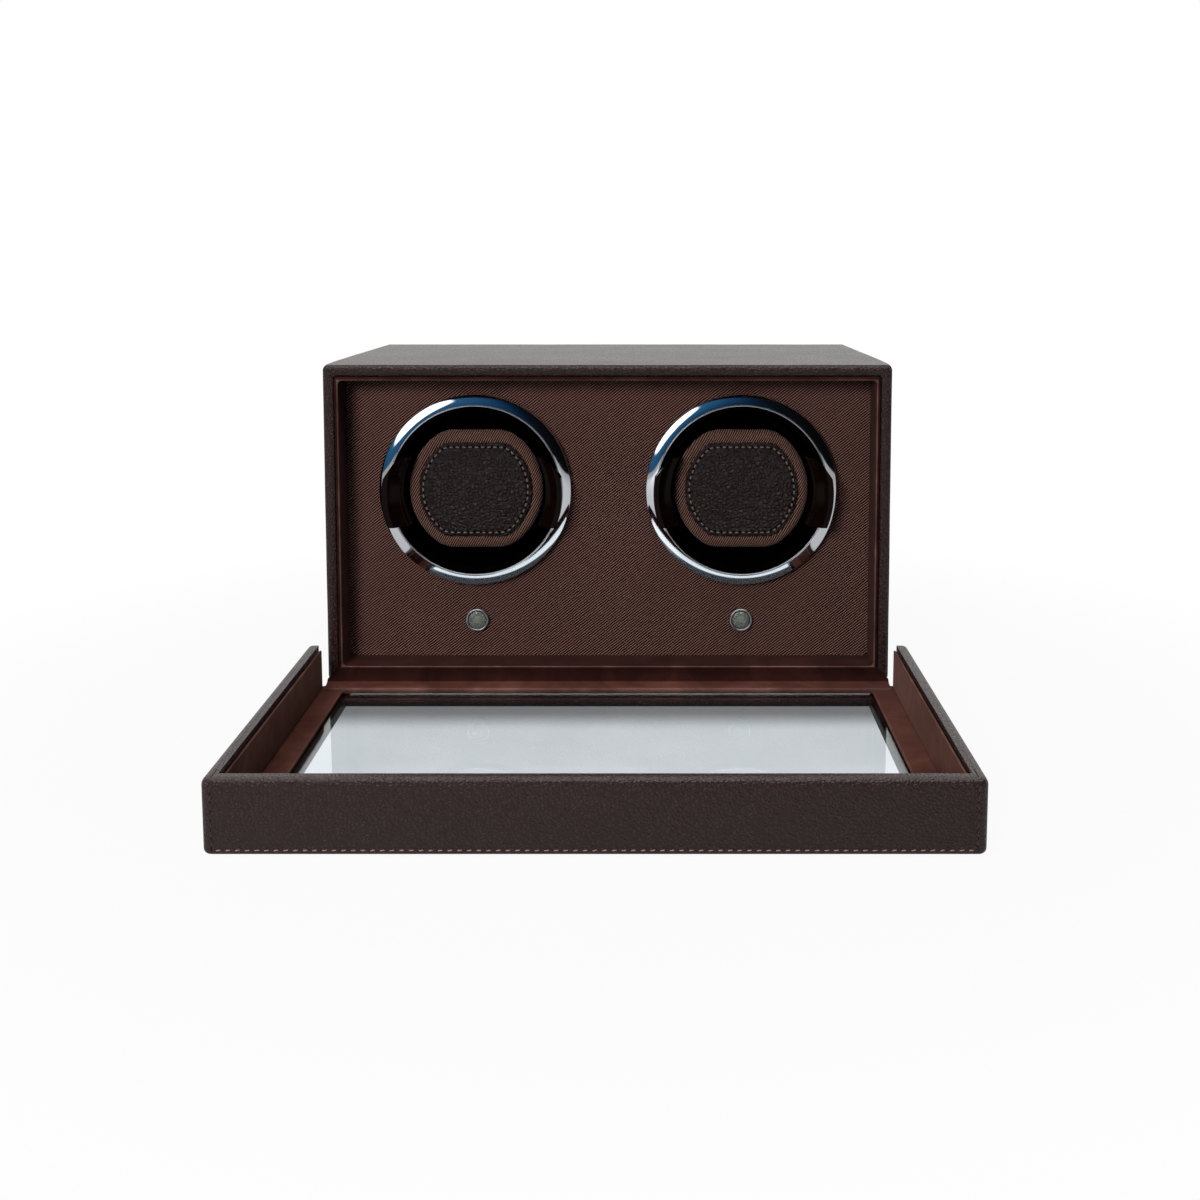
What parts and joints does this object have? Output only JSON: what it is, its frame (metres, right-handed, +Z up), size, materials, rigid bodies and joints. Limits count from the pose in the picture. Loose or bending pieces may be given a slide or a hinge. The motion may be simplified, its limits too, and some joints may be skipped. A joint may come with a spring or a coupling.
{
  "type": "watch winder",
  "caption": "Leather-covered winder for automatic watches, with chrome-ringed turning drums, cushioned cuffs, push buttons and a hinged glass cover opened flat in front.",
  "frame": {"origin": "on the table, below the middle of the cover's hinge line, at the foot of the case's front face", "axes": "+X to the viewer's right along the width, +Y from the case's front face into the case, +Z up"},
  "size_m": [0.302, 0.3446, 0.1766],
  "materials": {
    "leather": "pebbled dark brown leather, satin",
    "suede": "smooth suede-like brown lining cloth",
    "panel_twill": "fine diagonal twill, brown",
    "cushion_twill": "fine diagonal twill, lighter brown",
    "chrome_ring": "polished chrome plate",
    "black_gloss": "black, high gloss",
    "dark_gloss": "very dark brown, high gloss",
    "black_plastic": "moulded black plastic",
    "black_board": "black painted fibreboard",
    "clear_lens": "clear moulded acrylic",
    "window_glass": "clear float glass",
    "plated_steel": "zinc-plated steel",
    "bronze": "sintered bronze",
    "nylon": "natural nylon",
    "circuit_board": "green circuit board",
    "rubber_foot": "moulded black rubber"
  },
  "bodies": {
    "root": {"case_shell": "leather", "foot_front_left": "rubber_foot", "foot_front_right": "rubber_foot", "foot_back_left": "rubber_foot", "foot_back_right": "rubber_foot", "lining_frame": "suede", "front_panel": "panel_twill", "back_panel": "black_board", "back_screw_1": "plated_steel", "back_screw_2": "plated_steel", "back_screw_3": "plated_steel", "back_screw_4": "plated_steel", "power_socket": "black_plastic", "control_board": "circuit_board", "case_magnet": "plated_steel", "case_hinge_leaf": "plated_steel", "hinge_pin": "plated_steel", "hinge_cloth_case": "suede", "left_bezel": "chrome_ring", "left_well_housing": "black_plastic", "left_rear_plate": "black_plastic", "left_bush": "bronze", "left_motor_bracket": "plated_steel", "left_motor": "plated_steel", "left_button_rim": "chrome_ring", "left_switch": "black_plastic", "right_bezel": "chrome_ring", "right_well_housing": "black_plastic", "right_rear_plate": "black_plastic", "right_bush": "bronze", "right_motor_bracket": "plated_steel", "right_motor": "plated_steel", "right_button_rim": "chrome_ring", "right_switch": "black_plastic"},
    "cover": {"cover_frame": "leather", "cover_glass": "window_glass", "cover_mat": "suede", "cover_lining_left": "suede", "cover_lining_right": "suede", "cover_lining_front": "suede", "cover_hinge_leaf": "plated_steel", "hinge_cloth_cover": "suede", "cover_magnet": "plated_steel"},
    "left_rotor": {"left_drum": "black_gloss", "left_spindle": "plated_steel", "left_drive_gear": "nylon"},
    "left_pinion": {"left_pinion": "nylon"},
    "left_cuff": {"left_cuff": "dark_gloss", "left_cushion": "cushion_twill", "left_patch": "leather"},
    "left_button": {"left_button_lens": "clear_lens"},
    "right_rotor": {"right_drum": "black_gloss", "right_spindle": "plated_steel", "right_drive_gear": "nylon"},
    "right_pinion": {"right_pinion": "nylon"},
    "right_cuff": {"right_cuff": "dark_gloss", "right_cushion": "cushion_twill", "right_patch": "leather"},
    "right_button": {"right_button_lens": "clear_lens"}
  },
  "joints": [
    {"name": "cover_hinge", "type": "hinge", "parent": "root", "child": "cover", "pos_m": [0, 0, 0.0151], "axis": [1, 0, 0], "range_deg": [-91.63, 0]},
    {"name": "left_rotor_spin", "type": "hinge", "parent": "root", "child": "left_rotor", "pos_m": [-0.0686, 0.05, 0.1106], "axis": [0, 1, 0], "continuous": true},
    {"name": "left_pinion_spin", "type": "hinge", "parent": "root", "child": "left_pinion", "pos_m": [-0.0686, 0.09, 0.0654], "axis": [0, 1, 0], "continuous": true},
    {"name": "left_cuff_slide", "type": "slide", "parent": "left_rotor", "child": "left_cuff", "axis": [0, -1, 0], "range_m": [0, 0.062]},
    {"name": "left_button_press", "type": "slide", "parent": "root", "child": "left_button", "axis": [0, 1, 0], "range_m": [0, 0.0015], "stiffness_N_per_m": 600},
    {"name": "right_rotor_spin", "type": "hinge", "parent": "root", "child": "right_rotor", "pos_m": [0.0686, 0.05, 0.1106], "axis": [0, 1, 0], "continuous": true},
    {"name": "right_pinion_spin", "type": "hinge", "parent": "root", "child": "right_pinion", "pos_m": [0.0686, 0.09, 0.0654], "axis": [0, 1, 0], "continuous": true},
    {"name": "right_cuff_slide", "type": "slide", "parent": "right_rotor", "child": "right_cuff", "axis": [0, -1, 0], "range_m": [0, 0.062]},
    {"name": "right_button_press", "type": "slide", "parent": "root", "child": "right_button", "axis": [0, 1, 0], "range_m": [0, 0.0015], "stiffness_N_per_m": 600}
  ],
  "couplings": [
    {"joint": "left_pinion_spin", "follows": "left_rotor_spin", "ratio": -3.5},
    {"joint": "right_pinion_spin", "follows": "right_rotor_spin", "ratio": -3.5}
  ]
}
